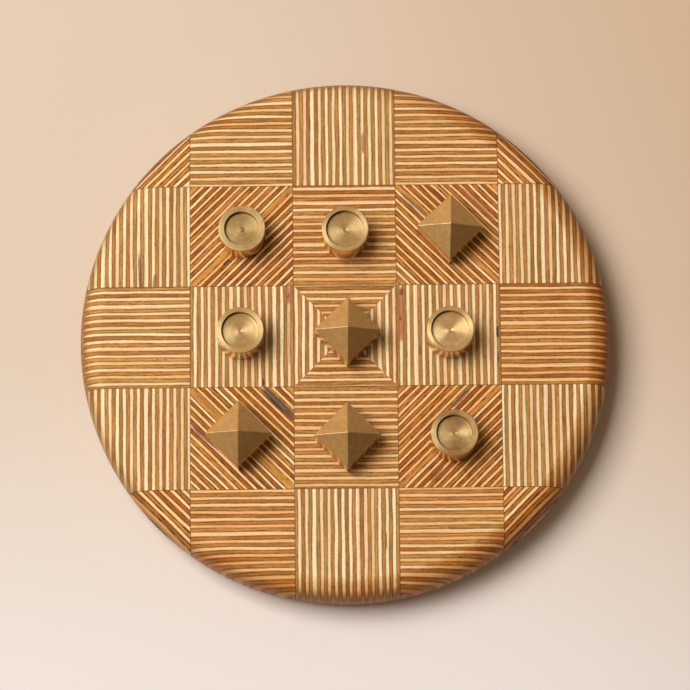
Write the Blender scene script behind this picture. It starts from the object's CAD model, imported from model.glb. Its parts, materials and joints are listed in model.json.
import json
import math

import bpy
import numpy as np
from bpy.props import (
    FloatProperty,
    FloatVectorProperty,
    IntProperty,
    PointerProperty,
)
from mathutils import Matrix, Vector

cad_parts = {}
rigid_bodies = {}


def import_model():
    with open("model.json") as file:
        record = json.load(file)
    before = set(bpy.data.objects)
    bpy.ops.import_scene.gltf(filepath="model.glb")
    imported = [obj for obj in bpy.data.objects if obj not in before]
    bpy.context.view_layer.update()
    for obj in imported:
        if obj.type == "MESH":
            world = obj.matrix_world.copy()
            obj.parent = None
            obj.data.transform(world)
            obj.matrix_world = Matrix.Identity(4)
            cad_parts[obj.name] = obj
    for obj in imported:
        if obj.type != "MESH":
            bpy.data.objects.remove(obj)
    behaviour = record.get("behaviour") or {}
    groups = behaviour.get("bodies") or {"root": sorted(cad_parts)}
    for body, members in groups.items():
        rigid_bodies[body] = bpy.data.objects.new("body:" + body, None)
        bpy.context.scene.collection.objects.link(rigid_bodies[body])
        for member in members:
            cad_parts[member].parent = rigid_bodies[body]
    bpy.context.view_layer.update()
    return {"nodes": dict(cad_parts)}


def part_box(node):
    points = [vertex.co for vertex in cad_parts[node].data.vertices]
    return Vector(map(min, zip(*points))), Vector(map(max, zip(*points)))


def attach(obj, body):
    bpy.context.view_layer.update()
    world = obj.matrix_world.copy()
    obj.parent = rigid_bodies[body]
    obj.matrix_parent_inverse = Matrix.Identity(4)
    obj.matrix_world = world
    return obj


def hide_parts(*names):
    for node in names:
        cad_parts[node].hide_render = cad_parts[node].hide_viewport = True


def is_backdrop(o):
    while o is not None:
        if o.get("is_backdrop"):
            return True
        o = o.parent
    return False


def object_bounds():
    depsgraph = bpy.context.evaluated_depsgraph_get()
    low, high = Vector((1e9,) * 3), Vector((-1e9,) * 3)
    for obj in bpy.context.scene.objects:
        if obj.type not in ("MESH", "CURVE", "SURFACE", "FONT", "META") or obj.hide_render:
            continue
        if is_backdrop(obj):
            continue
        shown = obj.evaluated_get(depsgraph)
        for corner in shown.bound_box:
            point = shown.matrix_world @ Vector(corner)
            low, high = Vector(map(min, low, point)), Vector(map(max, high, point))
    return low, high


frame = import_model()

bl_info = {
    "name": "Plywood Tic-Tac-Toe Board",
    "version": (1, 0, 0),
    "blender": (4, 5, 0),
    "location": "View3D > Sidebar > Tic-Tac-Toe",
    "description": "Finishes a round plywood tic-tac-toe board and its turned and milled brass pieces",
    "category": "Object",
}

MM = 0.001

# Every block of plywood: its column and row, the angle of its plies in degrees, and how far a joint
# between two sheets lies from its middle across the plies in millimetres.
BLOCKS = {
    "wedge_n": ((0, 0), 0, 21.3),
    "wedge_e": ((0, 0), 270, 13.9),
    "wedge_s": ((0, 0), 180, 21.3),
    "wedge_w": ((0, 0), 90, 13.9),
    "square_n": ((0, 1), 0, 13.7),
    "square_ne": ((1, 1), 135, -0.4),
    "square_e": ((1, 0), 90, 13.3),
    "square_se": ((1, -1), 45, 0.05),
    "square_s": ((0, -1), 0, 3.9),
    "square_sw": ((-1, -1), -45, -0.5),
    "square_w": ((-1, 0), 90, 4.4),
    "square_nw": ((-1, 1), 225, 0.45),
    "rim_n": ((0, 2), 90, 12.8),
    "rim_nne": ((1, 2), 0, 14.5),
    "rim_ene": ((2, 1), 90, 3.0),
    "rim_e": ((2, 0), 0, 4.5),
    "rim_ese": ((2, -1), 90, 3.2),
    "rim_sse": ((1, -2), 0, 3.3),
    "rim_s": ((0, -2), 90, 13.2),
    "rim_ssw": ((-1, -2), 0, 2.9),
    "rim_wsw": ((-2, -1), 90, 14.4),
    "rim_w": ((-2, 0), 0, 12.9),
    "rim_wnw": ((-2, 1), 90, 14.5),
    "rim_nnw": ((-1, 2), 0, 14.4),
    "corner_ne": ((2, 2), 135, 0.9),
    "corner_se": ((2, -2), 45, 13.8),
    "corner_sw": ((-2, -2), -45, 11.8),
    "corner_nw": ((-2, 2), 225, 10.4),
}

# Thickness of a sheet of plywood and of its face plies in millimetres, and the same for the blocks
# that are cut from other sheets.
SHEET = 17.6
FACE = 0.9
OTHER_SHEETS = {
    "square_ne": (28.0, 1.12), "square_se": (27.9, 1.07),
    "square_sw": (28.8, 1.52), "square_nw": (28.3, 1.27),
    "corner_ne": (18.25, FACE), "corner_se": (18.25, FACE),
    "corner_sw": (18.9, FACE), "corner_nw": (18.2, 1.3),
}

# How many more plies than others the thick sheets of the four squares on the diagonals have.
MORE_PLIES = 8

# Blocks whose sheets are paler (up to 1) or deeper (down to -1) than the others.
TONES = {
    "rim_w": 1.0, "rim_nnw": 0.7, "rim_ssw": -0.7, "rim_e": -1.0, "square_sw": 0.6,
    "square_se": -0.6, "corner_sw": 1.0, "corner_nw": 0.8, "corner_ne": 0.6,
}

# Scales that leave a colour as it is.
SAME = (1.0, 1.0, 1.0)

# By the way that the plies run: how much light they throw back, the sheen of their finish, and what
# cream, tan, brown and glue are scaled by.
RUNS = {
    "upright": (1.0, 0.36, SAME, SAME, SAME, (0.7, 0.7, 0.7)),
    "level": (0.45, 0.36, (0.97, 0.91, 0.9), (1.0, 1.0, 1.05), (1.03, 1.06, 1.12), SAME),
    "slanted": (
        0.2, 0.24, (1.0, 0.97, 1.0), (1.1, 1.15, 1.33), (1.21, 1.15, 1.05), (0.42, 0.31, 0.17),
    ),
}

# Marks in the wood, by block: the middle in millimetres, the angle in degrees, half the length and
# half the width in millimetres, the kind of stain, and how strong it is.
MARKS = {
    "square_e": (
        (22.9, 9.2, 90, 12.2, 1.7, "red", 0.9), (23.0, 18.0, 80, 1.6, 0.8, "dark", 0.7),
        (22.5, 6.8, 90, 0.8, 0.5, "dark", 0.8), (30.2, -6.5, 90, 2.2, 0.7, "dark", 0.6),
        (61.8, 1.0, 90, 2.6, 0.6, "black", 0.9), (61.9, -9.5, 90, 2.2, 0.5, "black", 0.7),
    ),
    "square_w": (
        (-22.6, 17.2, 90, 4.0, 1.8, "red", 0.8), (-23.0, 16.8, 75, 1.2, 0.4, "dark", 0.8),
        (-22.7, 0.0, 90, 13.0, 0.7, "red", 0.4), (-33.4, -19.0, 90, 1.5, 0.6, "black", 0.8),
    ),
    "square_nw": (
        (-48.3, 31.0, 45, 1.8, 0.6, "black", 0.8), (-59.5, 36.5, 48, 2.4, 0.7, "plum", 0.7),
    ),
    "square_sw": (
        (-27.3, -27.9, -46, 9.5, 1.9, "grey", 0.95), (-28.3, -28.0, -46, 4.2, 0.4, "black", 1.0),
        (-22.6, -32.9, -48, 2.4, 0.8, "plum", 0.8), (-23.6, -31.8, -46, 1.6, 0.3, "dark", 1.0),
        (-55.0, -43.0, -41, 10.8, 1.1, "plum", 0.8), (-56.0, -28.0, -45, 7.0, 0.9, "red", 0.5),
    ),
    "square_ne": (
        (29.0, 54.3, -44, 7.8, 1.2, "grey", 0.4), (55.0, 54.3, -45, 10.0, 1.1, "red", 0.6),
        (38.5, 58.8, -45, 4.0, 0.8, "dark", 0.7), (36.5, 37.5, -47, 6.0, 0.7, "red", 0.6),
    ),
    "square_se": (
        (46.5, -26.5, 46, 5.5, 0.9, "grey", 0.7), (36.5, -58.0, 45, 4.0, 0.8, "plum", 0.6),
    ),
    "rim_n": ((8.1, 80.8, 90, 4.6, 0.8, "red", 0.8),),
    "rim_s": ((15.6, -84.2, 90, 3.6, 0.4, "black", 0.7),),
    "rim_wnw": (
        (-83.4, 27.0, 92, 8.5, 0.7, "dark", 0.75), (-77.4, 23.5, 84, 3.2, 0.7, "dark", 0.7),
    ),
}

# Colours of the stains.
STAINS = {
    "red": (0.66, 0.40, 0.25), "dark": (0.42, 0.22, 0.10), "black": (0.24, 0.12, 0.05),
    "grey": (0.38, 0.27, 0.23), "plum": (0.50, 0.30, 0.24),
}

# Tints that wood and brass are multiplied by, in linear light.
ROSY_PLY, GREEN_PLY = (1.08, 0.94, 0.94, 1), (0.97, 1.03, 0.96, 1)
DEEP_SHEET, PALE_SHEET = (0.97, 0.89, 0.78, 1), (1.03, 1.13, 1.2, 1)
WARM_RUN, COOL_RUN = (1.05, 1.0, 0.95, 1), (0.96, 0.98, 1.06, 1)
SIDE_FINISH, RIM_FINISH = (0.62, 0.48, 0.34, 1), (0.88, 0.70, 0.52, 1)
GREEN_BRASS, ROSY_BRASS = (0.98, 1.03, 1.07, 1), (1.0, 0.95, 0.99, 1)
DULL_FLOOR = (0.72, 0.68, 0.62, 1)

# Old tarnish in the corner of a nought's recess, in linear light.
CORNER_TARNISH = (0.13, 0.055, 0.025, 1)

# Every nought: the width of its recess in millimetres, whether a pip stands in its middle, how
# strong the fan of light on its turned faces is, how tarnished they are, and how dull the recess's
# floor is.
NOUGHTS = {
    "nought_n": (15.0, False, 0.8, 0.3, 0.4),
    "nought_e": (15.1, False, 0.97, 0.3, 0.0),
    "nought_se": (14.2, False, 0.8, 1.0, 0.35),
    "nought_w": (14.8, False, 0.8, 0.1, 0.4),
    "nought_nw": (13.8, True, 0.55, 0.4, 0.6),
}

# Every cross and its turn in degrees against an exact diamond.
CROSSES = {
    "cross_c": -1.2,
    "cross_ne": -1.8,
    "cross_s": 0.0,
    "cross_sw": -0.9,
}

# More millimetres than any line between two plies or blocks is wide.
FAR = 9.0

# Ways across the board: to the side of the rim where the finish is richer, and to the side of a
# recess where tarnish gathers.
RICH_SIDE = (0.966, -0.259, 0.0)
TARNISHED_SIDE = (-0.97, 0.24, 0.0)

# Where the finishes of a nought meet, in metres: the depth of the bar's drawn skin, how far to both
# sides the recess's wall counts, how far the wall stays under the top, and how far below the
# recess's floor everything counts as skin.
SKIN, WALL, LIP, UNDER = 0.12 * MM, 0.15 * MM, 0.1 * MM, 1.5 * MM

# The floor's half width. It fades from its near colour to its far one, and takes its side tint along
# a slant: both are a way across the floor and the metres between which the colour changes.
FLOOR_REACH = 4.0
FLOOR_FADE = ((0.0, 1.0, 0.0), -0.17, 0.03)
FLOOR_SLANT = ((1.0, 0.5, 0.0), -0.02, 0.25)

# The room in linear light. The wood and the floor get a tinted light from above. The brass mirrors a
# wall that is bright in the north-west and dim across from it, the ceiling and the soft box.
ROOM_TINT = (1.0, 0.81, 0.57)
SOFT_BOX_TINT = (1.0, 0.97, 0.93)
BRIGHT_WALL = (0.82, 0.62, 0.465, 1)
DIM_WALL = (0.135, 0.08, 0.047, 1)
CEILING = (0.7, 0.61, 0.555, 1)
SPOT = (4.2, 4.7, 5.0, 1)
BRIGHT_WAY = (-0.77, 0.62, 0.1)
SPOT_TILT = math.radians(28)
SPOT_TURN = math.radians(12)

# The cosines between which the ceiling and the spot fade in, and those at which the wall is fully
# dim and fully bright, with the power that it brightens by.
CEILING_FADE = (0.75, 0.95)
SPOT_FADE = (0.93, 0.99)
WALL_DIMMEST, WALL_BRIGHTEST, WALL_POWER = -0.8, 0.95, 1.6

# The camera's turn about the upright axis, and the place that it looks at.
CAMERA_TURN = math.radians(0.0785)
CAMERA_TARGET = (-0.165 * MM, -3.909 * MM, 24 * MM)


def linear(color):
    """A colour as it is seen, as the linear light that the shaders count in."""
    seen = np.asarray(color, float)
    light = np.where(seen <= 0.04045, seen / 12.92, ((seen + 0.055) / 1.055) ** 2.4)
    return (*light.tolist(), 1.0)


def scaled(color, factors):
    """A colour as linear light with each of its parts scaled."""
    return (*(part * factor for part, factor in zip(linear(color), factors)), 1.0)


class BoardSettings(bpy.types.PropertyGroup):
    block: FloatProperty(
        name="Block", description="Width of one square of the game",
        default=42 * MM, min=40 * MM, max=44 * MM, unit="LENGTH",
    )
    edge: FloatProperty(
        name="Rim rounding", description="Radius of the rounding along both edges of the rim",
        default=9.5 * MM, min=4 * MM, max=9.5 * MM, unit="LENGTH",
    )
    plies: IntProperty(
        name="Plies", description="Plies in one sheet of plywood",
        default=13, min=9, max=15,
    )
    cream: FloatVectorProperty(
        name="Cream plies", description="Palest colour of the plies that show their long grain",
        default=(0.98, 0.90, 0.73), min=0, max=1, subtype="COLOR_GAMMA",
    )
    tan: FloatVectorProperty(
        name="Tan plies", description="Deepest colour of the plies that show their long grain",
        default=(0.89, 0.65, 0.385), min=0, max=1, subtype="COLOR_GAMMA",
    )
    brown: FloatVectorProperty(
        name="Brown plies", description="Palest colour of the plies that show their end grain",
        default=(0.735, 0.525, 0.275), min=0, max=1, subtype="COLOR_GAMMA",
    )
    umber: FloatVectorProperty(
        name="Umber plies", description="Deepest colour of the plies that show their end grain",
        default=(0.56, 0.32, 0.09), min=0, max=1, subtype="COLOR_GAMMA",
    )
    glue: FloatVectorProperty(
        name="Glue lines", description="Colour of the lines of glue between the plies",
        default=(0.31, 0.14, 0.03), min=0, max=1, subtype="COLOR_GAMMA",
    )


class BrassSettings(bpy.types.PropertyGroup):
    color: FloatVectorProperty(
        name="Brass", description="Colour of clean brass",
        default=(0.945, 0.795, 0.535), min=0, max=1, subtype="COLOR_GAMMA",
    )
    tarnish: FloatVectorProperty(
        name="Tarnish", description="Colour of brass that has been handled",
        default=(0.78, 0.62, 0.40), min=0, max=1, subtype="COLOR_GAMMA",
    )
    recess: FloatProperty(
        name="Recess depth", description="Depth of the recess in a nought",
        default=2 * MM, min=1.5 * MM, max=4 * MM, unit="LENGTH",
    )
    turned_edge: FloatProperty(
        name="Turned edges", description="Radius of the broken edges of a nought",
        default=0.3 * MM, min=0.1 * MM, max=0.5 * MM, unit="LENGTH",
    )
    slope: FloatProperty(
        name="Slope", description="Slope of the four faces on top of a cross",
        default=math.radians(30), min=math.radians(20), max=math.radians(45), subtype="ANGLE",
    )
    ridge: FloatProperty(
        name="Ridges", description="Radius along the ridges and edges of a cross",
        default=0.25 * MM, min=0.1 * MM, max=0.5 * MM, unit="LENGTH",
    )


class StageSettings(bpy.types.PropertyGroup):
    lens: FloatProperty(
        name="Lens", description="Focal length of the camera, in millimetres on a 36 mm sensor",
        default=201.47, min=50, max=400,
    )
    distance: FloatProperty(
        name="Distance", description="From the camera to the middle of the board",
        default=1.5661, min=0.5, max=4, unit="LENGTH",
    )
    tilt: FloatProperty(
        name="Tilt", description="Angle of the camera's view away from straight down",
        default=math.radians(12.53), min=0, max=math.radians(80), subtype="ANGLE",
    )
    roll: FloatProperty(
        name="Roll", description="Turn of the camera about its own view",
        default=math.radians(-0.661), min=-0.5, max=0.5, subtype="ANGLE",
    )
    lamp_power: FloatProperty(
        name="Soft box power", description="Power of the soft box, in watts",
        default=67.5, min=0, max=200,
    )
    lamp_size: FloatProperty(
        name="Soft box size", description="Length of each side of the soft box",
        default=1.55, min=0.2, max=3, unit="LENGTH",
    )
    lamp_distance: FloatProperty(
        name="Soft box distance", description="From the soft box to the board",
        default=2.6, min=0.5, max=4, unit="LENGTH",
    )
    lamp_tilt: FloatProperty(
        name="Soft box tilt", description="Angle of the soft box away from straight above",
        default=math.radians(28.3), min=0, max=math.radians(80), subtype="ANGLE",
    )
    lamp_turn: FloatProperty(
        name="Soft box turn", description="Angle of the soft box north of west",
        default=math.radians(19), min=-math.pi, max=math.pi, subtype="ANGLE",
    )
    room: FloatProperty(
        name="Room light", description="Strength of the light from above, which fades to all sides",
        default=0.36, min=0, max=2,
    )
    floor_near: FloatVectorProperty(
        name="Floor, near", description="Colour of the floor on the side of the camera",
        default=(0.95, 0.925, 0.918), min=0, max=1, subtype="COLOR_GAMMA",
    )
    floor_far: FloatVectorProperty(
        name="Floor, far", description="Colour of the floor on the side away from the camera",
        default=(0.885, 0.816, 0.743), min=0, max=1, subtype="COLOR_GAMMA",
    )
    floor_side: FloatVectorProperty(
        name="Floor, side", description="Tint of the floor on the side away from the soft box",
        default=(0.96, 0.905, 0.85), min=0, max=1, subtype="COLOR_GAMMA",
    )


def toward(tilt, turn):
    """The way to a place in the room, by its angles from straight above and north of west."""
    level = math.sin(tilt)
    return Vector((-level * math.cos(turn), level * math.sin(turn), math.cos(tilt)))


class Shader:
    """A node tree that nodes are added to by short calls, each of which gives its output socket."""

    def __init__(self, tree):
        self.tree = tree

    def node(self, kind, **values):
        made = self.tree.nodes.new(kind)
        for name, value in values.items():
            setattr(made, name, value)
        return made

    def fill(self, socket, value):
        if isinstance(value, bpy.types.NodeSocket):
            self.tree.links.new(value, socket)
        elif value is not None:
            socket.default_value = value

    def fills(self, sockets, values):
        for name, value in values.items():
            self.fill(sockets[name], value)

    def math(self, operation, a, b=None, clamp=False):
        made = self.node("ShaderNodeMath", operation=operation, use_clamp=clamp)
        for socket, value in zip(made.inputs, (a, b)):
            self.fill(socket, value)
        return made.outputs[0]

    def add(self, *terms):
        total = terms[0]
        for term in terms[1:]:
            total = self.math("ADD", total, term)
        return total

    def mul(self, *terms):
        total = terms[0]
        for term in terms[1:]:
            total = self.math("MULTIPLY", total, term)
        return total

    def sub(self, a, b):
        return self.math("SUBTRACT", a, b)

    def either(self, share, a, b):
        """a where share is 0 and b where it is 1."""
        return self.add(self.mul(self.sub(1.0, share), a), self.mul(share, b))

    def within(self, value, low, high):
        """A value kept between two others."""
        return self.math("MINIMUM", self.math("MAXIMUM", value, low), high)

    def clamped(self, value):
        """A value kept between 0 and 1."""
        return self.math("ADD", value, 0.0, clamp=True)

    def vector(self, operation, a, b=None, scale=None):
        made = self.node("ShaderNodeVectorMath", operation=operation)
        self.fill(made.inputs[0], a)
        self.fill(made.inputs[1], b)
        self.fill(made.inputs[3], scale)
        return made.outputs[1 if operation in ("DOT_PRODUCT", "LENGTH") else 0]

    def point(self, x, y, z):
        made = self.node("ShaderNodeCombineXYZ")
        for socket, value in zip(made.inputs, (x, y, z)):
            self.fill(socket, value)
        return made.outputs[0]

    def parts(self, vector):
        made = self.node("ShaderNodeSeparateXYZ")
        self.fill(made.inputs[0], vector)
        return made.outputs[:]

    def place(self):
        """A place on the object in millimetres."""
        where = self.node("ShaderNodeTexCoord").outputs["Object"]
        return self.vector("SCALE", where, scale=1 / MM)

    def measured(self, vector, angle):
        """How far a vector reaches along a level axis at an angle, and how far across it."""
        x, y, _ = self.parts(vector)
        cos, sin = self.math("COSINE", angle), self.math("SINE", angle)
        along = self.add(self.mul(x, cos), self.mul(y, sin))
        return along, self.sub(self.mul(y, cos), self.mul(x, sin))

    def ramp(self, value, low, high, start=0.0, end=1.0):
        """Goes smoothly from start to end as value goes from low to high."""
        made = self.node("ShaderNodeMapRange", interpolation_type="SMOOTHSTEP")
        for socket, given in zip(made.inputs, (value, low, high, start, end)):
            self.fill(socket, given)
        return made.outputs[0]

    def blend(self, share, a, b, how="MIX"):
        made = self.node("ShaderNodeMix", data_type="RGBA", blend_type=how)
        self.fill(made.inputs[0], share)
        self.fill(made.inputs[6], a)
        self.fill(made.inputs[7], b)
        return made.outputs[2]

    def tinted(self, color, tint, share=1.0):
        """A colour times a tint where share is 1, and the colour alone where it is 0."""
        return self.blend(share, color, tint, "MULTIPLY")

    def shaded(self, color, value):
        """A colour with all of its parts scaled by a value."""
        return self.tinted(color, self.point(value, value, value))

    def noise(self, vector, scale=1.0, detail=2.0, rough=0.5):
        made = self.node("ShaderNodeTexNoise")
        self.fills(made.inputs, {
            "Vector": vector, "Scale": scale, "Detail": detail, "Roughness": rough,
        })
        return made.outputs["Fac"]

    def about(self, vector, amount, **kind):
        """Noise that goes above and below nought by about half the amount."""
        return self.mul(self.sub(self.noise(vector, **kind), 0.5), amount)

    def chance(self, vector):
        made = self.node("ShaderNodeTexWhiteNoise", noise_dimensions="3D")
        self.fill(made.inputs["Vector"], vector)
        return made.outputs["Value"]

    def bumped(self, height, strength, normal=None):
        """The normal of a surface with grooves up to a tenth of a millimetre deep."""
        made = self.node("ShaderNodeBump")
        self.fills(made.inputs, {
            "Strength": strength, "Distance": 0.1 * MM, "Height": height, "Normal": normal,
        })
        return made.outputs["Normal"]


def new_group(name, inputs, outputs):
    """A new node group with its helper, the sockets of its inputs and those of its outputs."""
    tree = bpy.data.node_groups.new(name, "ShaderNodeTree")
    for label, kind, default in inputs:
        made = tree.interface.new_socket(name=label, in_out="INPUT", socket_type="NodeSocket" + kind)
        made.default_value = default
    for label, kind in outputs:
        tree.interface.new_socket(name=label, in_out="OUTPUT", socket_type="NodeSocket" + kind)
    s = Shader(tree)
    return tree, s, s.node("NodeGroupInput").outputs, s.node("NodeGroupOutput").inputs


def new_material(name):
    """A new material with its helper and its shader node."""
    material = bpy.data.materials.new(name)
    material.use_nodes = True
    return material, Shader(material.node_tree), material.node_tree.nodes["Principled BSDF"]


def board_normal(s, place, given):
    """The way out from the board's middle, how far a place lies on the rounding, and its normal.

    The normal is smooth where the mesh has facets. It is that of a disc with a rounded rim: the unit
    vector from the nearest point of its core, which is the disc that the rounding's centre draws.
    """
    x, y, z = s.parts(place)
    flat = s.point(x, y, 0.0)
    outward = s.vector("NORMALIZE", flat)
    beyond = s.math("MAXIMUM", s.sub(s.vector("LENGTH", flat), given["Flat Radius"]), 0.0)
    rise = s.sub(z, s.within(z, given["Low"], given["High"]))
    normal = s.vector("ADD", s.vector("SCALE", outward, scale=beyond), s.point(0.0, 0.0, rise))
    return outward, beyond, s.vector("NORMALIZE", normal)


def ply_at(s, across, given):
    """The ply at a place: its number, whether its fibres lie along it, whether it is a brown face
    ply, and the distance to the nearest glue line.

    Across the plies, the distance from a sheet joint is divided into sheets and then into plies, of
    which the two face plies have a thickness of their own. Every second ply has its fibres along it.
    """
    sheet_t, face_t = given["Sheet"], given["Face"]
    ply_t = s.math("DIVIDE", s.sub(sheet_t, s.mul(face_t, 2.0)), s.sub(given["Plies"], 2.0))
    sheet = s.math("FLOOR", s.math("DIVIDE", across, sheet_t))
    depth = s.sub(across, s.mul(sheet, sheet_t))
    last = s.sub(given["Plies"], 1.0)
    ply = s.add(s.math("FLOOR", s.math("DIVIDE", s.sub(depth, face_t), ply_t)), 1.0)
    ply = s.within(ply, 0.0, last)
    low = s.math("MAXIMUM", s.add(face_t, s.mul(s.sub(ply, 1.0), ply_t)), 0.0)
    high = s.math("MINIMUM", s.add(face_t, s.mul(ply, ply_t)), sheet_t)
    first_face = s.math("LESS_THAN", ply, 0.5)
    last_face = s.math("GREATER_THAN", ply, s.sub(last, 0.5))
    to_low = s.add(s.sub(depth, low), s.mul(first_face, FAR))
    to_high = s.add(s.sub(high, depth), s.mul(last_face, FAR))
    even = s.sub(1.0, s.math("MODULO", ply, 2.0))
    long = s.math("ABSOLUTE", s.sub(even, given["Brown Faces"]))
    face = s.mul(s.add(first_face, last_face), given["Brown Faces"])
    return s.add(s.mul(sheet, given["Plies"]), ply), long, face, s.math("MINIMUM", to_low, to_high)


def seam_distance(s, x, y, half):
    """The distance to the nearest seam between blocks, which are one and three half blocks out."""
    nearest = FAR
    for side in (s.math("ABSOLUTE", x), s.math("ABSOLUTE", y)):
        for times in (1.0, 3.0):
            gap = s.math("ABSOLUTE", s.sub(side, s.mul(half, times)))
            nearest = s.math("MINIMUM", gap, nearest)
    return nearest


def plywood_group():
    """The plies of a block on edge.

    Lengths in it are in millimetres. A ply is pale where its fibres lie in the surface and brown
    where they end in it, by the square of the cosine between the fibres and the surface's normal.
    The scales of the grain and the shares of the colours are set by eye.
    """
    tree, s, given, out = new_group("Plywood", (
        ("Middle", "Vector", (0, 0, 0)), ("Angle", "Float", 0.0), ("Joint", "Float", 0.0),
        ("Sheet", "Float", SHEET), ("Face", "Float", FACE), ("Plies", "Float", 13.0),
        ("Brown Faces", "Float", 0.0), ("Shine", "Float", 0.5), ("Tone", "Float", 0.0),
        ("Cream", "Color", (1, 1, 1, 1)), ("Tan", "Color", (1, 1, 1, 1)),
        ("Brown", "Color", (0, 0, 0, 1)), ("Umber", "Color", (0, 0, 0, 1)),
        ("Glue", "Color", (0, 0, 0, 1)), ("Seed", "Float", 0.0), ("Half Block", "Float", 21.0),
        ("Flat Radius", "Float", 98.5), ("Low", "Float", 9.5), ("High", "Float", 14.5),
    ), (("Color", "Color"), ("Roughness", "Float"), ("Height", "Float"), ("Normal", "Vector")))
    place = s.place()
    x, y, z = s.parts(place)
    outward, beyond, normal = board_normal(s, place, given)
    upright = s.math("POWER", s.vector("DOT_PRODUCT", normal, (0, 0, 1)), 2.0)
    ends = s.math("POWER", s.measured(normal, given["Angle"])[0], 2.0)

    # Along and across the plies, which waver a little
    along, across = s.measured(s.vector("SUBTRACT", place, given["Middle"]), given["Angle"])
    across = s.sub(across, given["Joint"])
    seed = s.mul(given["Seed"], 37.0)

    def at(by_along, by_across, by_z):
        return s.point(
            s.mul(along, by_along), s.add(s.mul(across, by_across), seed), s.mul(z, by_z))

    across = s.add(
        across, s.about(at(0.05, 0.3, 0.05), 0.8, detail=1.0), s.about(at(0.3, 0.9, 0.3), 0.2),
        s.about(at(2.0, 1.5, 2.0), 0.3))
    count, long, face, to_glue = ply_at(s, across, given)
    short = s.sub(1.0, long)

    # Chances of each ply, and slow changes along it
    luck, luck_two, hue = [s.chance(s.point(count, given["Seed"], draw)) for draw in (1.0, 2.0, 3.0)]
    spread = s.add(s.mul(count, 3.7), seed)
    drift = s.about(s.point(s.mul(along, 0.09), spread, s.mul(z, 0.05)), 1.0, detail=3.0)

    # Grain: streaks along the fibres, pores across them, fine grit and dark flecks
    lying = s.about(at(0.15, 3.2, 3.2), 1.0, detail=3.0, rough=0.6)
    standing = s.about(at(1.3, 2.6, 0.15), 1.0, detail=3.0, rough=0.65)
    streak = s.about(at(0.1, 2.0, 0.1), 1.0, detail=2.0)
    grit = s.about(at(1.4, 3.0, 1.4), 0.55, detail=2.0)
    fleck = s.ramp(s.noise(at(0.45, 1.6, 0.3), detail=2.0), 0.6, 0.72)

    # Long grain is cream to tan and end grain brown to umber, deeper where the plies shine less
    dull = s.sub(1.0, given["Shine"])
    glow = s.mul(given["Shine"], given["Shine"])
    tan_share = s.add(
        s.sub(0.62, s.mul(glow, 0.47)), s.mul(s.sub(luck, 0.5), 0.7), s.mul(drift, 0.5))
    pale = s.blend(s.clamped(tan_share), given["Cream"], given["Tan"])
    umber_share = s.add(
        0.15, s.mul(dull, dull, dull, 0.95), s.mul(s.sub(luck_two, 0.5), 0.8), drift,
        s.mul(standing, 1.6), s.mul(face, -0.9))
    brown = s.blend(s.clamped(umber_share), given["Brown"], given["Umber"])
    long_color = s.blend(s.mul(s.ramp(ends, 0.25, 0.95), 0.85), pale, brown)
    short_color = s.blend(s.ramp(upright, 0.0, 0.45, 0.35, 1.0), pale, brown)

    # The end grain's edge eats into the pale plies, whose middles are a little paler
    bite = s.add(0.05, s.mul(dull, 0.14))
    pale_share = s.mul(long, s.ramp(to_glue, bite, s.add(bite, 0.18)))
    wood = s.blend(pale_share, short_color, long_color)
    core = s.mul(long, s.ramp(to_glue, 0.1, 0.6, -0.09, 0.05))
    wood = s.shaded(wood, s.add(
        1.0, s.mul(long, lying, 0.35), s.mul(short, standing, 0.6), s.mul(short, streak, 1.5),
        grit, core))
    hue_share = s.add(0.4, s.mul(given["Shine"], 0.6))
    wood = s.tinted(wood, s.blend(hue, ROSY_PLY, GREEN_PLY), hue_share)

    # Glue lines come and go, are narrow in end grain and uneven along pale plies
    shown = s.ramp(s.noise(at(0.3, 0.8, 0.3), detail=3.0), 0.25, 0.65)
    to_edge = s.add(to_glue, s.about(at(0.25, 1.3, 0.25), 0.7, detail=3.0))
    lined = s.either(short, s.ramp(to_glue, 0.12, 0.04), s.ramp(to_edge, 0.5, 0.1))
    glue = s.mul(lined, shown, s.add(0.45, s.mul(dull, dull, 0.8)))
    glue = s.math("MAXIMUM", glue, s.mul(fleck, short, 0.6))
    wood = s.blend(glue, wood, given["Glue"])
    to_seam = seam_distance(s, x, y, given["Half Block"])
    wood = s.blend(s.mul(s.ramp(to_seam, 0.28, 0.05), 0.7), wood, given["Glue"])

    # The sheets differ in tone, and the finish is deeper down the side and round the south-east
    wood = s.tinted(wood, s.blend(s.ramp(given["Tone"], -1.0, 1.0), DEEP_SHEET, PALE_SHEET))
    wood = s.tinted(wood, s.blend(glow, WARM_RUN, COOL_RUN))
    wood = s.tinted(wood, SIDE_FINISH, s.ramp(upright, 0.75, 0.05))
    rich = s.ramp(s.vector("DOT_PRODUCT", outward, RICH_SIDE), -0.4, 0.4)
    wood = s.tinted(wood, RIM_FINISH, s.mul(s.ramp(beyond, 0.0, 4.0), rich))

    height = s.add(s.mul(long, 0.3), s.mul(standing, short), s.mul(lying, long, 0.5))
    s.fills(out, {
        "Color": wood, "Roughness": s.add(0.48, s.mul(short, 0.08)), "Height": height,
        "Normal": normal,
    })
    return tree


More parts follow.
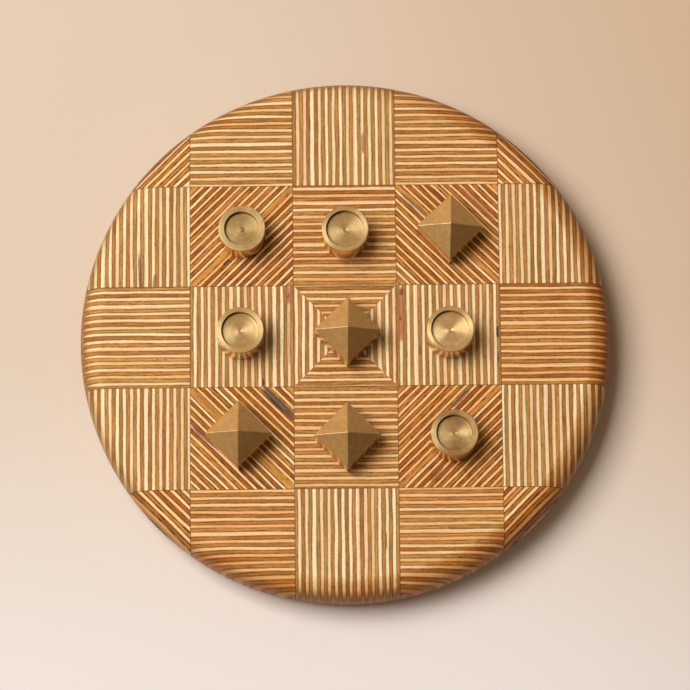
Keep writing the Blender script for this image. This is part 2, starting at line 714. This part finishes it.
def mark_group():
    """A stain in the wood: an oval with an uneven edge, drawn along the grain on the board's top."""
    tree, s, given, out = new_group("Mark", (
        ("Color", "Color", (1, 1, 1, 1)), ("Middle", "Vector", (0, 0, 0)), ("Angle", "Float", 0.0),
        ("Half Length", "Float", 5.0), ("Half Width", "Float", 0.8),
        ("Stain", "Color", (0, 0, 0, 1)), ("Strength", "Float", 1.0),
    ), (("Color", "Color"),))
    from_middle = s.vector("SUBTRACT", s.place(), given["Middle"])
    along, across = s.measured(from_middle, given["Angle"])
    u = s.math("DIVIDE", along, given["Half Length"])
    v = s.math("DIVIDE", across, given["Half Width"])
    reach = s.math("POWER", s.add(s.math("POWER", u, 4.0), s.math("POWER", v, 4.0)), 0.25)
    uneven = s.about(s.point(s.mul(along, 0.5), s.mul(across, 1.5), 0.0), 0.7, detail=3.0)
    streaks = s.about(s.point(s.mul(along, 0.25), s.mul(across, 3.0), 4.0), 1.2, detail=3.0)
    on_top = s.ramp(s.parts(from_middle)[2], 20.0, 23.0)
    strength = s.clamped(s.add(given["Strength"], streaks))
    share = s.mul(s.ramp(s.add(reach, uneven), 1.1, 0.75), strength, on_top)
    stain = s.shaded(given["Stain"], s.add(1.0, s.mul(streaks, 0.7)))
    s.fill(out["Color"], s.blend(share, given["Color"], stain))
    return tree


def plywood_material(node, board, group, mark):
    """Plywood with the plies and the marks of one block, under a satin clear finish."""
    (column, row), angle, joint = BLOCKS[node]
    sheet, face = OTHER_SHEETS.get(node, (SHEET, FACE))
    material, s, shader = new_material("Plywood " + node)
    plies = s.node("ShaderNodeGroup", node_tree=group)
    block, edge = board.block / MM, board.edge / MM
    top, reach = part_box(node)[1].z / MM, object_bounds()[1].x / MM
    run = "slanted" if angle % 90 else "upright" if angle % 180 else "level"
    shine, sheen, cream, tan, brown, glue = RUNS[run]
    thick = node.startswith("square") and run == "slanted"
    s.fills(plies.inputs, {
        "Middle": (column * block, row * block, 0), "Angle": math.radians(angle), "Joint": joint,
        "Sheet": sheet, "Face": face, "Plies": board.plies + (MORE_PLIES if thick else 0),
        "Brown Faces": float(thick), "Shine": shine, "Tone": TONES.get(node, 0.0),
        "Cream": scaled(board.cream, cream), "Tan": scaled(board.tan, tan),
        "Brown": scaled(board.brown, brown), "Umber": scaled(board.umber, brown),
        "Glue": scaled(board.glue, glue), "Seed": 1.0 + sorted(BLOCKS).index(node),
        "Half Block": block / 2, "Flat Radius": reach - edge, "Low": edge, "High": top - edge,
    })
    color = plies.outputs["Color"]
    for x, y, turn, half_length, half_width, stain, strength in MARKS.get(node, ()):
        spot = s.node("ShaderNodeGroup", node_tree=mark)
        s.fills(spot.inputs, {
            "Color": color, "Middle": (x, y, 0), "Angle": math.radians(turn),
            "Half Length": half_length, "Half Width": half_width,
            "Stain": linear(STAINS[stain]), "Strength": strength,
        })
        color = spot.outputs["Color"]
    normal = s.bumped(plies.outputs["Height"], 0.15, plies.outputs["Normal"])
    s.fills(shader.inputs, {
        "Base Color": color, "Roughness": plies.outputs["Roughness"], "Normal": normal,
        "Specular IOR Level": sheen, "Specular Tint": (1.0, 0.75, 0.45, 1),
    })
    return material


def tarnish_group():
    """Handling marks on brass: clouds and specks of tarnish, patches of shade and a cast of colour."""
    tree, s, given, out = new_group("Tarnish", (
        ("Clean", "Color", (1, 1, 1, 1)), ("Tarnished", "Color", (0, 0, 0, 1)),
        ("Amount", "Float", 0.5), ("Roughness", "Float", 0.3), ("Seed", "Float", 0.0),
    ), (("Color", "Color"), ("Roughness", "Float")))
    moved = s.vector("ADD", s.place(), s.point(given["Seed"], 0.0, 0.0))
    clouds = s.noise(moved, scale=0.16, detail=4.0, rough=0.55)
    specks = s.noise(moved, scale=1.7, detail=3.0, rough=0.7)
    patches = s.about(s.vector("SCALE", moved, scale=0.5), 0.45, detail=3.0, rough=0.6)
    rosy = s.ramp(s.noise(moved, scale=0.6, detail=2.0, rough=0.6), 0.35, 0.65)
    share = s.clamped(s.add(
        s.mul(s.ramp(clouds, 0.25, 0.75), given["Amount"]), s.mul(s.ramp(specks, 0.55, 0.75), 0.12)))
    color = s.blend(share, given["Clean"], given["Tarnished"])
    color = s.tinted(s.shaded(color, s.add(1.0, patches)), s.blend(rosy, GREEN_BRASS, ROSY_BRASS))
    s.fills(out, {"Color": color, "Roughness": s.add(given["Roughness"], s.mul(share, 0.12))})
    return tree


def brass_material(name, brass, seed, roughness, amount, bright=1.0):
    """Brass with its tarnish, by how much of it there is and how bright its colour stays."""
    material, s, shader = new_material(name)
    group = bpy.data.node_groups.get("Tarnish") or tarnish_group()
    marks = s.node("ShaderNodeGroup", node_tree=group)
    s.fills(marks.inputs, {
        "Clean": linear(brass.color), "Tarnished": linear([part * bright for part in brass.tarnish]),
        "Amount": amount, "Roughness": roughness, "Seed": seed,
    })
    s.fills(shader.inputs, {
        "Base Color": marks.outputs["Color"], "Roughness": marks.outputs["Roughness"],
        "Metallic": 1.0,
    })
    return material


def grooved(material, seed, fan, centre, bore, dullness):
    """Adds turned grooves round a centre to brass, on which light runs in a fan.

    The grooves are noise that depends only on the distance from the centre. Inside the bore, whose
    radius is given in millimetres, the floor is dull, and old tarnish fills its corner on one side.
    """
    s = Shader(material.node_tree)
    shader = material.node_tree.nodes["Principled BSDF"]
    color = shader.inputs["Base Color"].links[0].from_socket
    x, y, _ = s.parts(s.vector("SUBTRACT", s.place(), (centre[0] / MM, centre[1] / MM, 0.0)))
    flat = s.point(x, y, 0.0)
    radius = s.vector("LENGTH", flat)
    height = s.noise(s.point(s.mul(radius, 1.1), seed, 0.0), detail=4.0, rough=0.7)
    rings = s.about(
        s.point(s.mul(radius, 0.8), seed, 3.0), 0.25 + 0.9 * dullness, detail=2.0, rough=0.7)
    color = s.shaded(color, s.add(1.0, rings))
    color = s.tinted(color, DULL_FLOOR, s.mul(s.ramp(radius, bore, bore - 0.3), dullness))
    off = s.math("ABSOLUTE", s.sub(radius, bore))
    aside = s.vector("DOT_PRODUCT", s.vector("NORMALIZE", flat), TARNISHED_SIDE)
    corner = s.mul(s.ramp(off, 0.45, 0.15), s.ramp(aside, 0.0, 0.6))
    s.fills(shader.inputs, {
        "Base Color": s.blend(corner, color, CORNER_TARNISH), "Anisotropic": fan,
        "Anisotropic Rotation": 0.25, "Normal": s.bumped(height, 0.5),
    })
    return material


def grid_faces(rows, columns):
    """Four-sided faces of a grid whose columns close into a ring, as an array of vertex numbers."""
    row, column = np.meshgrid(np.arange(rows - 1), np.arange(columns), indexing="ij")
    here, beside = row * columns + column, row * columns + (column + 1) % columns
    return np.stack([here, beside, beside + columns, here + columns], axis=-1).reshape(-1, 4)


def ring_solid(name, rings, low_tip, high_tip):
    """A closed solid through rings of points, each end of which is a fan of triangles to its tip."""
    rows, columns, _ = rings.shape
    points = np.concatenate([rings.reshape(-1, 3), [low_tip, high_tip]])
    start = np.arange(columns)
    beside = (start + 1) % columns
    last = (rows - 1) * columns
    fans = np.concatenate([
        np.stack([beside, start, np.full(columns, rows * columns)], axis=-1),
        np.stack([last + start, last + beside, np.full(columns, rows * columns + 1)], axis=-1),
    ])
    mesh = bpy.data.meshes.new(name)
    mesh.from_pydata(points.tolist(), [], grid_faces(rows, columns).tolist() + fans.tolist())
    mesh.update()
    mesh.shade_smooth()
    piece = bpy.data.objects.new(name, mesh)
    bpy.context.scene.collection.objects.link(piece)
    return piece


def arc(middle, radius, start, end, steps=6):
    """Points on a circle's arc between two angles in degrees, as radius and height."""
    angle = np.radians(np.linspace(start, end, steps))
    return np.array(middle) + radius * np.stack([np.cos(angle), np.sin(angle)], axis=-1)


def nought_profile(brass, radius, height, recess, pip):
    """Half section of a nought from the edge of its foot, up and over the rim, to the recess's middle.

    The edges are arcs. The floor is a shallow hollow that falls with the square of the distance from
    its foot, and its middle has the cone of a centre drill or a low pip.
    """
    edge = brass.turned_edge
    floor = height - brass.recess
    inner = recess / 2
    fillet = 0.35 * MM
    dish = 0.1 * MM
    side = np.stack([np.full(6, radius), np.linspace(edge * 2, height - edge * 2, 6)], axis=-1)
    rim = np.stack([np.linspace(radius - edge * 1.5, inner + edge, 6), np.full(6, height)], axis=-1)
    wall_z = np.linspace(height - edge, floor + fillet * 1.3, 3)
    wall = np.stack([np.full(3, inner), wall_z], axis=-1)
    reach = np.linspace(inner - fillet * 1.3, 0.9 * MM, 14)
    bowl = np.stack([reach, floor - dish * (1 - (reach / inner) ** 2)], axis=-1)
    if pip:
        middle = [[0.8, 0.02], [0.72, 0.16], [0.6, 0.28], [0.45, 0.33], [0.2, 0.34]]
    else:
        middle = [[0.75, -0.01], [0.68, -0.04], [0.5, -0.09], [0.3, -0.14], [0.12, -0.18]]
    middle = np.array(middle) * MM + (0, floor - dish)
    return np.concatenate([
        arc((radius - edge, edge), edge, -90, 0), side,
        arc((radius - edge, height - edge), edge, 0, 90), rim,
        arc((inner + edge * 0.6, height - edge * 0.6), edge * 0.6, 90, 180), wall,
        arc((inner - fillet, floor + fillet), fillet, 0, -90), bowl, middle,
    ])


def turned(name, profile, centre, base, steps=160):
    """A profile of radius and height carried once round an upright axis."""
    turn = np.linspace(0, 2 * math.pi, steps, endpoint=False)
    round_x, round_y = np.cos(turn), np.sin(turn)
    rings = np.stack([
        centre[0] + profile[:, :1] * round_x, centre[1] + profile[:, :1] * round_y,
        base + profile[:, 1:] * np.ones(steps),
    ], axis=-1)
    return ring_solid(name, rings, (*centre, base), (*centre, base + profile[-1, 1]))


def rounded_square(half, corner):
    """Rounded squares, one for each given half width and corner radius.

    A point at a corner is the corner's centre plus its radius at the point's angle. A point on a
    side keeps the last angle, while its centre goes from that corner to the next.
    """
    signs = np.array([[1, 1], [-1, 1], [-1, -1], [1, -1]])
    along_side = np.array([0.02, 0.06, 0.2, 0.4, 0.6, 0.8, 0.94, 0.98])
    bend = np.concatenate([np.linspace(0, 90, 9), np.full(len(along_side), 90)])
    share = np.tile(np.concatenate([np.zeros(9), along_side]), 4)[:, None]
    here = np.repeat(np.arange(4), len(bend))
    angle = np.radians(np.tile(bend, 4) + 90 * here)
    centres = (1 - share) * signs[here] + share * signs[(here + 1) % 4]
    round_part = np.stack([np.cos(angle), np.sin(angle)], axis=-1)
    return (half - corner)[:, None, None] * centres + corner[:, None, None] * round_part


def cross_solid(name, brass, centre, base, half, height, turn):
    """A square bar whose top slopes to a point, and the height at which the slopes begin.

    Each row is a rounded square. Going up, the half width stays until the edge, turns over it in an
    arc, and then shrinks down the slope, where the height is that of a hyperbola close to the tip.
    """
    rise = math.tan(brass.slope)
    ridge = brass.ridge
    soft = 0.2 * MM
    tip = 0.15 * MM
    plinth = height - half * rise
    foot = arc((half - ridge, ridge), ridge, -90, 0)
    top = plinth / MM
    side_z = np.array([0.5, 1.5, top * 0.5, top - 1.2, top - 0.45]) * MM
    side = np.stack([np.full(5, half), side_z], axis=-1)
    bend = 90 - math.degrees(brass.slope)
    over = arc((half - soft, plinth - soft * math.tan(math.radians(bend) / 2)), soft, 0, bend)
    reach = np.concatenate([
        half - np.array([0.3, 0.7]) * MM, np.linspace(half - 1.6 * MM, 1.2 * MM, 8),
        np.array([0.7, 0.45, 0.28, 0.16, 0.07]) * MM,
    ])
    fall = np.stack([reach, plinth + (half - np.hypot(reach, tip)) * rise], axis=-1)
    profile = np.concatenate([foot, side, over, fall])
    flat = rounded_square(profile[:, 0], np.minimum(ridge, profile[:, 0] * 0.98))
    cos, sin = math.cos(turn), math.sin(turn)
    rings = np.stack([
        centre[0] + flat[..., 0] * cos - flat[..., 1] * sin,
        centre[1] + flat[..., 0] * sin + flat[..., 1] * cos,
        base + profile[:, 1:] * np.ones(flat.shape[1]),
    ], axis=-1)
    peak = base + plinth + (half - tip) * rise
    return ring_solid(name, rings, (*centre, base), (*centre, peak)), base + plinth


def face_middles(piece):
    """The middles of a piece's faces, as an array of places."""
    middles = np.zeros(len(piece.data.polygons) * 3)
    piece.data.polygons.foreach_get("center", middles)
    return middles.reshape(-1, 3)


def place_brass(piece, node, materials, zones):
    """Gives each face of a piece the material of its zone and puts the piece in its node's place."""
    for material in materials:
        piece.data.materials.append(material)
    piece.data.polygons.foreach_set("material_index", zones.astype(np.int32))
    piece.data.update()
    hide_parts(node)
    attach(piece, node)


class TTT_OT_blocks(bpy.types.Operator):
    """Gives every block of the board the plies that it is glued from"""

    bl_idname = "tictactoe.blocks"
    bl_label = "Plywood Blocks"

    def execute(self, context):
        board = context.scene.tictactoe_board
        group, mark = plywood_group(), mark_group()
        for node in BLOCKS:
            piece = frame["nodes"][node]
            piece.data.materials.clear()
            piece.data.materials.append(plywood_material(node, board, group, mark))
        return {"FINISHED"}


class TTT_OT_noughts(bpy.types.Operator):
    """Turns the round brass pieces with their recesses"""

    bl_idname = "tictactoe.noughts"
    bl_label = "Noughts"

    def execute(self, context):
        brass = context.scene.tictactoe_brass
        for number, (node, (recess, pip, fan, tarnish, dullness)) in enumerate(NOUGHTS.items()):
            low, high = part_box(node)
            centre = ((low.x + high.x) / 2, (low.y + high.y) / 2)
            radius = max(high.x - low.x, high.y - low.y) / 2
            bore, seed = recess / 2, 11.0 * number
            profile = nought_profile(brass, radius, high.z - low.z, recess * MM, pip)
            piece = turned("turned_" + node, profile, centre, low.z)
            drawn = brass_material(
                "Drawn brass " + node, brass, seed, roughness=0.2, amount=0.5, bright=0.85)
            faced = brass_material(
                "Turned brass " + node, brass, seed, roughness=0.3 + 0.2 * dullness, amount=tarnish)
            bored = brass_material(
                "Bored brass " + node, brass, seed, roughness=0.22, amount=0.3)
            grooved(faced, seed, fan, centre, bore, dullness)
            grooved(bored, seed, 0.0, centre, bore, 0.0)

            # The bar's skin keeps its drawn finish, and the rest is the recess's wall or turned faces
            x, y, z = face_middles(piece).T
            reach = np.hypot(x - centre[0], y - centre[1])
            is_skin = (reach > radius - SKIN) | (z < high.z - brass.recess - UNDER)
            is_wall = (abs(reach - bore * MM) < WALL) & (z < high.z - LIP)
            zones = np.where(is_skin, 0, np.where(is_wall, 2, 1))
            place_brass(piece, node, (drawn, faced, bored), zones)
        return {"FINISHED"}


class TTT_OT_crosses(bpy.types.Operator):
    """Mills the square brass pieces, whose tops slope to a point"""

    bl_idname = "tictactoe.crosses"
    bl_label = "Crosses"

    def execute(self, context):
        brass = context.scene.tictactoe_brass
        for number, (node, turn) in enumerate(CROSSES.items()):
            low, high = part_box(node)
            centre = ((low.x + high.x) / 2, (low.y + high.y) / 2)
            turn = math.radians(45 + turn)
            half = (high.x - low.x) / 2 / (abs(math.cos(turn)) + abs(math.sin(turn)))
            height, seed = high.z - low.z, 70 + 13.0 * number
            piece, shoulder = cross_solid(
                "milled_" + node, brass, centre, low.z, half, height, turn)
            drawn = brass_material(
                "Drawn brass " + node, brass, seed, roughness=0.2, amount=0.6, bright=0.8)
            milled = brass_material(
                "Milled brass " + node, brass, seed, roughness=0.34, amount=0.25)
            zones = np.where(face_middles(piece)[:, 2] > shoulder - 0.05 * MM, 1, 0)
            place_brass(piece, node, (drawn, milled), zones)
        return {"FINISHED"}


def lay_floor(scene, stage):
    """A pale floor, whose colour fades from the camera's side to the far side and to the right."""
    across = np.linspace(-FLOOR_REACH, FLOOR_REACH, 3)
    x, y = np.meshgrid(across, across)
    points = np.stack([x, y, np.zeros_like(x)], axis=-1).reshape(-1, 3)
    faces = [(0, 1, 4, 3), (1, 2, 5, 4), (3, 4, 7, 6), (4, 5, 8, 7)]
    mesh = bpy.data.meshes.new("floor")
    mesh.from_pydata(points.tolist(), [], faces)
    floor = bpy.data.objects.new("floor", mesh)
    scene.collection.objects.link(floor)
    floor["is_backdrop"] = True
    paper, s, shader = new_material("Pale floor")
    place = s.node("ShaderNodeTexCoord").outputs["Object"]
    far, side = [
        s.ramp(s.vector("DOT_PRODUCT", place, way), start, end)
        for way, start, end in (FLOOR_FADE, FLOOR_SLANT)
    ]
    pale = s.blend(far, linear(stage.floor_near), linear(stage.floor_far))
    s.fills(shader.inputs, {
        "Base Color": s.tinted(pale, linear(stage.floor_side), side), "Roughness": 0.9,
        "Specular IOR Level": 0.1,
    })
    mesh.materials.append(paper)


def hang_soft_box(scene, stage):
    """A soft box that lights all but the brass, which mirrors a soft spot in the room instead."""
    box = bpy.data.lights.new("soft_box", "AREA")
    box.shape = "RECTANGLE"
    box.size = box.size_y = stage.lamp_size
    box.energy = stage.lamp_power
    box.color = SOFT_BOX_TINT
    lamp = bpy.data.objects.new("soft_box", box)
    scene.collection.objects.link(lamp)
    way = toward(stage.lamp_tilt, stage.lamp_turn)
    lamp.location = way * stage.lamp_distance
    lamp.rotation_euler = way.to_track_quat("Z", "Y").to_euler()
    lamp.visible_camera = False
    mirrors = bpy.data.collections.new("mirrors")
    for piece in scene.objects:
        if piece.name.startswith(("turned_", "milled_")):
            mirrors.objects.link(piece)
    for member in mirrors.collection_objects:
        member.light_linking.link_state = "EXCLUDE"
    lamp.light_linking.receiver_collection = mirrors


def light_room(scene, stage):
    """A room that gives light from above, and that the brass mirrors as walls, ceiling and spot.

    The light goes with the square of the cosine from straight above. The wall goes from dim to
    bright with a power of the cosine to its bright side.
    """
    world = bpy.data.worlds.new("room")
    scene.world = world
    world.use_nodes = True
    s = Shader(world.node_tree)
    way = s.vector("NORMALIZE", s.node("ShaderNodeTexCoord").outputs["Generated"])
    rise = s.math("MAXIMUM", s.vector("DOT_PRODUCT", way, (0, 0, 1)), 0.0)
    around = s.vector("SCALE", s.point(*ROOM_TINT), scale=s.mul(rise, rise, stage.room))
    side = s.math("MAXIMUM", s.sub(s.vector("DOT_PRODUCT", way, BRIGHT_WAY), WALL_DIMMEST), 0.0)
    near = s.math("DIVIDE", side, WALL_BRIGHTEST - WALL_DIMMEST)
    wall = s.blend(s.math("POWER", near, WALL_POWER), DIM_WALL, BRIGHT_WALL)
    walls = s.blend(s.ramp(rise, *CEILING_FADE), wall, CEILING)
    spot = s.ramp(s.vector("DOT_PRODUCT", way, toward(SPOT_TILT, SPOT_TURN)), *SPOT_FADE)
    path = s.node("ShaderNodeLightPath").outputs
    direct = s.mul(path["Is Glossy Ray"], s.math("LESS_THAN", path["Diffuse Depth"], 0.5))
    background = world.node_tree.nodes["Background"]
    s.fill(background.inputs["Color"], s.blend(direct, around, s.blend(spot, walls, SPOT)))


def set_camera(scene, stage):
    """A camera above the board, tilted toward its near side."""
    camera = bpy.data.cameras.new("camera")
    camera.lens = stage.lens
    camera.sensor_width = 36
    camera.clip_end = 20
    eye = bpy.data.objects.new("camera", camera)
    scene.collection.objects.link(eye)
    tilt, roll = stage.tilt, stage.roll
    right = Vector((math.cos(CAMERA_TURN), math.sin(CAMERA_TURN), 0))
    level = Vector((right.y, -right.x, 0))
    back = level * math.sin(tilt) + Vector((0, 0, math.cos(tilt)))
    up = back.cross(right)
    side = right * math.cos(roll) + up * math.sin(roll)
    top = up * math.cos(roll) - right * math.sin(roll)
    facing = Matrix((side, top, back)).transposed().to_4x4()
    place = Vector(CAMERA_TARGET) + back * stage.distance
    eye.matrix_world = Matrix.Translation(place) @ facing
    scene.camera = eye


class TTT_OT_stage(bpy.types.Operator):
    """Lays the pale floor and sets the soft light and the camera"""

    bl_idname = "tictactoe.stage"
    bl_label = "Stage"

    def execute(self, context):
        scene = context.scene
        scene.view_settings.view_transform = "Standard"
        for work in (lay_floor, hang_soft_box, light_room, set_camera):
            work(scene, scene.tictactoe_stage)
        return {"FINISHED"}


class TTT_PT_board(bpy.types.Panel):
    """Sizes, colours and operators of the board"""

    bl_idname = "TTT_PT_board"
    bl_label = "Tic-Tac-Toe Board"
    bl_space_type = "VIEW_3D"
    bl_region_type = "UI"
    bl_category = "Tic-Tac-Toe"

    def draw(self, context):
        scene = context.scene
        for settings, operators in (
            (scene.tictactoe_board, (TTT_OT_blocks,)),
            (scene.tictactoe_brass, (TTT_OT_noughts, TTT_OT_crosses)),
            (scene.tictactoe_stage, (TTT_OT_stage,)),
        ):
            box = self.layout.box()
            for name in settings.__annotations__:
                box.prop(settings, name)
            for operator in operators:
                box.operator(operator.bl_idname)


CLASSES = (
    BoardSettings, BrassSettings, StageSettings,
    TTT_OT_blocks, TTT_OT_noughts, TTT_OT_crosses, TTT_OT_stage, TTT_PT_board,
)


def register():
    for each in CLASSES:
        bpy.utils.register_class(each)
    bpy.types.Scene.tictactoe_board = PointerProperty(type=BoardSettings)
    bpy.types.Scene.tictactoe_brass = PointerProperty(type=BrassSettings)
    bpy.types.Scene.tictactoe_stage = PointerProperty(type=StageSettings)


def unregister():
    del bpy.types.Scene.tictactoe_stage
    del bpy.types.Scene.tictactoe_brass
    del bpy.types.Scene.tictactoe_board
    for each in reversed(CLASSES):
        bpy.utils.unregister_class(each)


def main():
    register()
    bpy.ops.tictactoe.blocks()
    bpy.ops.tictactoe.noughts()
    bpy.ops.tictactoe.crosses()
    bpy.ops.tictactoe.stage()


if __name__ == "__main__":
    main()
